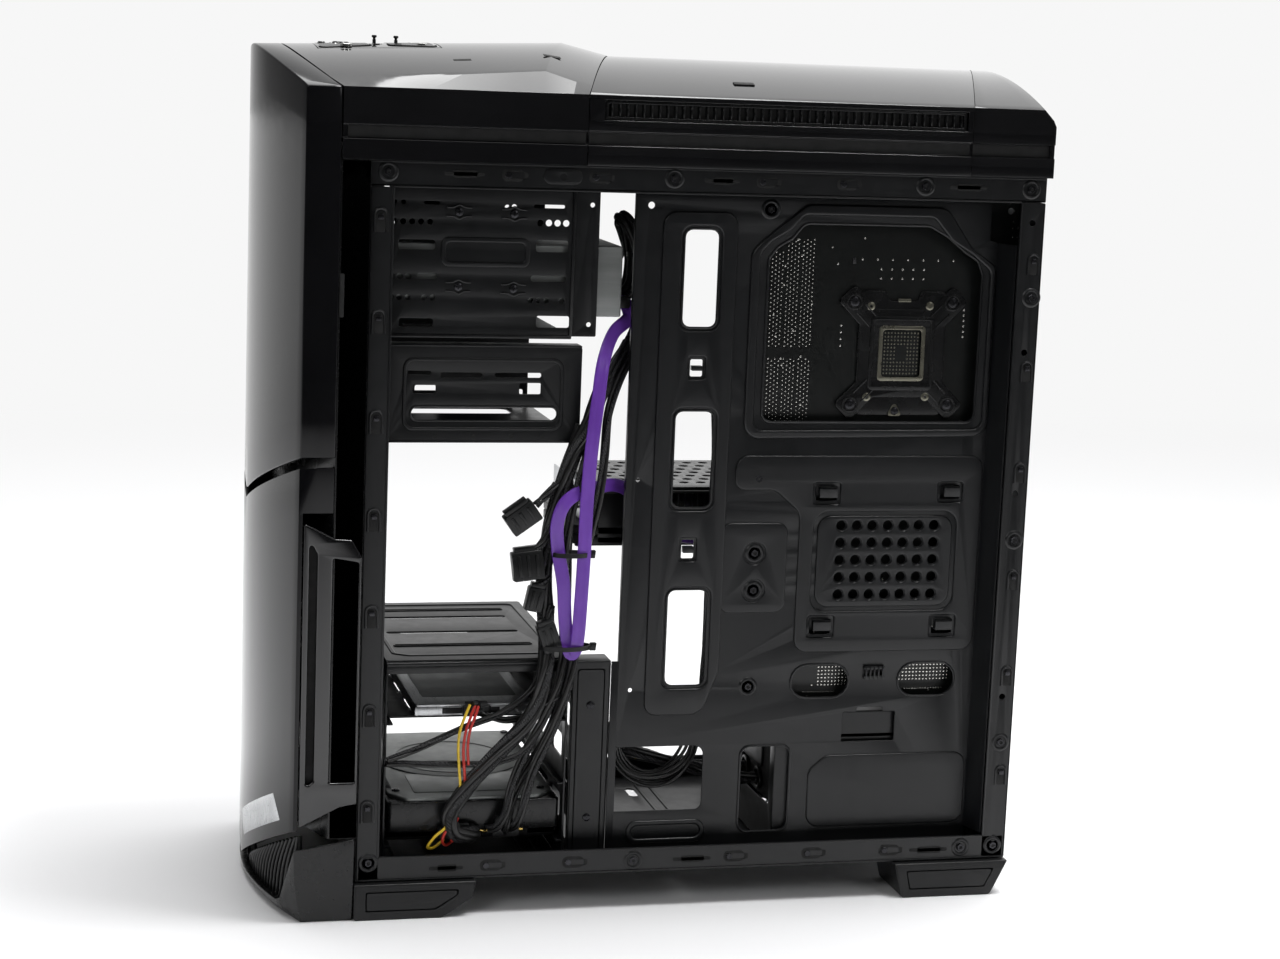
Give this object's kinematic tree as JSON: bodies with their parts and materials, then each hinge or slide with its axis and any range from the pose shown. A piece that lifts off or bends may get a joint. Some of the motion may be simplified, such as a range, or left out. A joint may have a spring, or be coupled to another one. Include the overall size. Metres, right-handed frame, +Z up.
{
  "type": "desktop computer tower",
  "caption": "Midi-tower desktop computer with both side panels off: arched gloss-black front and top, open steel case, drive cages, motherboard tray, cooling fans and routed cables.",
  "frame": {"origin": "on the ground, under the centre of the tower's bounding box", "axes": "+Z up, the front door faces -Y, the rear panel faces +Y, +X is the side that shows the back of the motherboard tray"},
  "size_m": [0.205, 0.452, 0.499],
  "materials": {
    "gloss_black": "piano-gloss moulded plastic with faint dust and wipe marks",
    "matte_black": "fine-textured moulded plastic",
    "dark_plastic": "plain satin moulded plastic",
    "black_steel": "satin black powder coat over pressed steel sheet",
    "bare_metal": "bare drawn metal with fine grain",
    "circuit_board": "black solder-resist laminate",
    "purple_cable": "flat ribbon with satin purple jacket",
    "cable_sleeve": "braided black sleeve",
    "foot_rubber": "matte moulded rubber"
  },
  "bodies": {
    "tower": {"base_pan": "black_steel", "roof_pan": "black_steel", "front_frame": "black_steel", "rear_panel": "black_steel", "motherboard_tray": "black_steel", "optical_cage": "black_steel", "small_drive_cage": "black_steel", "hard_drive_cage": "black_steel", "cage_post": "black_steel", "cpu_back_plate": "black_steel", "power_supply": "black_steel", "lower_front_panel": "gloss_black", "top_front_cover": "gloss_black", "top_mid_panel": "gloss_black", "top_rear_cover": "gloss_black", "front_fascia": "matte_black", "side_intake_right": "matte_black", "side_intake_left": "matte_black", "front_skirt": "matte_black", "skirt_grille": "matte_black", "side_louvre_right": "matte_black", "side_louvre_left": "matte_black", "top_port_block": "matte_black", "graphics_card": "dark_plastic", "rear_fan_frame": "dark_plastic", "front_fan_frame": "dark_plastic", "cpu_fan_frame": "dark_plastic", "front_foot_right": "foot_rubber", "front_foot_left": "foot_rubber", "rear_foot_right": "foot_rubber", "rear_foot_left": "foot_rubber", "motherboard": "circuit_board", "memory_stick_1": "circuit_board", "memory_stick_2": "circuit_board", "cpu_heatsink": "bare_metal", "optical_drive": "bare_metal", "io_shield": "bare_metal", "sata_cable": "purple_cable", "main_harness": "cable_sleeve", "drive_harness": "cable_sleeve", "drive_lead_lower": "cable_sleeve", "drive_lead_upper": "cable_sleeve", "supply_leads": "cable_sleeve", "lead_coil": "cable_sleeve"},
    "door": {"bay_door": "gloss_black"},
    "power_key": {"power_button": "gloss_black"},
    "reset_key": {"reset_button": "gloss_black"},
    "speed_slider_1": {"fan_speed_knob_1": "dark_plastic"},
    "speed_slider_2": {"fan_speed_knob_2": "dark_plastic"},
    "upper_tray": {"drive_tray_upper": "dark_plastic", "solid_state_drive": "bare_metal"},
    "lower_tray": {"drive_tray_lower": "dark_plastic", "hard_drive": "bare_metal"},
    "rear_fan": {"rear_fan_rotor": "dark_plastic"},
    "front_fan": {"front_fan_rotor": "dark_plastic"},
    "cpu_fan": {"cpu_fan_rotor": "dark_plastic"},
    "card_fan_1": {"card_fan_rotor_1": "dark_plastic"},
    "card_fan_2": {"card_fan_rotor_2": "dark_plastic"},
    "supply_fan": {"power_supply_fan": "dark_plastic"},
    "supply_switch": {"power_supply_switch": "dark_plastic"}
  },
  "joints": [
    {"name": "door_hinge", "type": "hinge", "parent": "tower", "child": "door", "pos_m": [-0.1025, -0.1873, 0.36], "axis": [0, 0, -1], "range_deg": [0, 110]},
    {"name": "power_press", "type": "slide", "parent": "tower", "child": "power_key", "axis": [0, 0, -1], "range_m": [0, 0.0025], "stiffness_N_per_m": 400},
    {"name": "reset_press", "type": "slide", "parent": "tower", "child": "reset_key", "axis": [0, 0, -1], "range_m": [0, 0.002], "stiffness_N_per_m": 400},
    {"name": "speed_slide_1", "type": "slide", "parent": "tower", "child": "speed_slider_1", "axis": [1, 0, 0], "range_m": [0, 0.01]},
    {"name": "speed_slide_2", "type": "slide", "parent": "tower", "child": "speed_slider_2", "axis": [1, 0, 0], "range_m": [0, 0.01]},
    {"name": "upper_tray_slide", "type": "slide", "parent": "tower", "child": "upper_tray", "axis": [-1, 0, 0], "range_m": [0, 0.15]},
    {"name": "lower_tray_slide", "type": "slide", "parent": "tower", "child": "lower_tray", "axis": [-1, 0, 0], "range_m": [0, 0.15]},
    {"name": "rear_fan_spin", "type": "hinge", "parent": "tower", "child": "rear_fan", "pos_m": [-0.0325, 0.2115, 0.35], "axis": [0, 1, 0], "continuous": true},
    {"name": "front_fan_spin", "type": "hinge", "parent": "tower", "child": "front_fan", "pos_m": [0, -0.185, 0.15], "axis": [0, -1, 0], "continuous": true},
    {"name": "cpu_fan_spin", "type": "hinge", "parent": "tower", "child": "cpu_fan", "pos_m": [0, 0.1495, 0.326], "axis": [-1, 0, 0], "continuous": true},
    {"name": "card_fan_1_spin", "type": "hinge", "parent": "tower", "child": "card_fan_1", "pos_m": [-0.003, 0.028, 0.213], "axis": [0, 0, -1], "continuous": true},
    {"name": "card_fan_2_spin", "type": "hinge", "parent": "tower", "child": "card_fan_2", "pos_m": [-0.003, 0.13, 0.213], "axis": [0, 0, -1], "continuous": true},
    {"name": "supply_fan_spin", "type": "hinge", "parent": "tower", "child": "supply_fan", "pos_m": [0, 0.153, 0.035], "axis": [0, 0, -1], "continuous": true},
    {"name": "supply_switch_rock", "type": "hinge", "parent": "tower", "child": "supply_switch", "pos_m": [-0.015, 0.2204, 0.078], "axis": [1, 0, 0], "range_deg": [0, 14]}
  ]
}
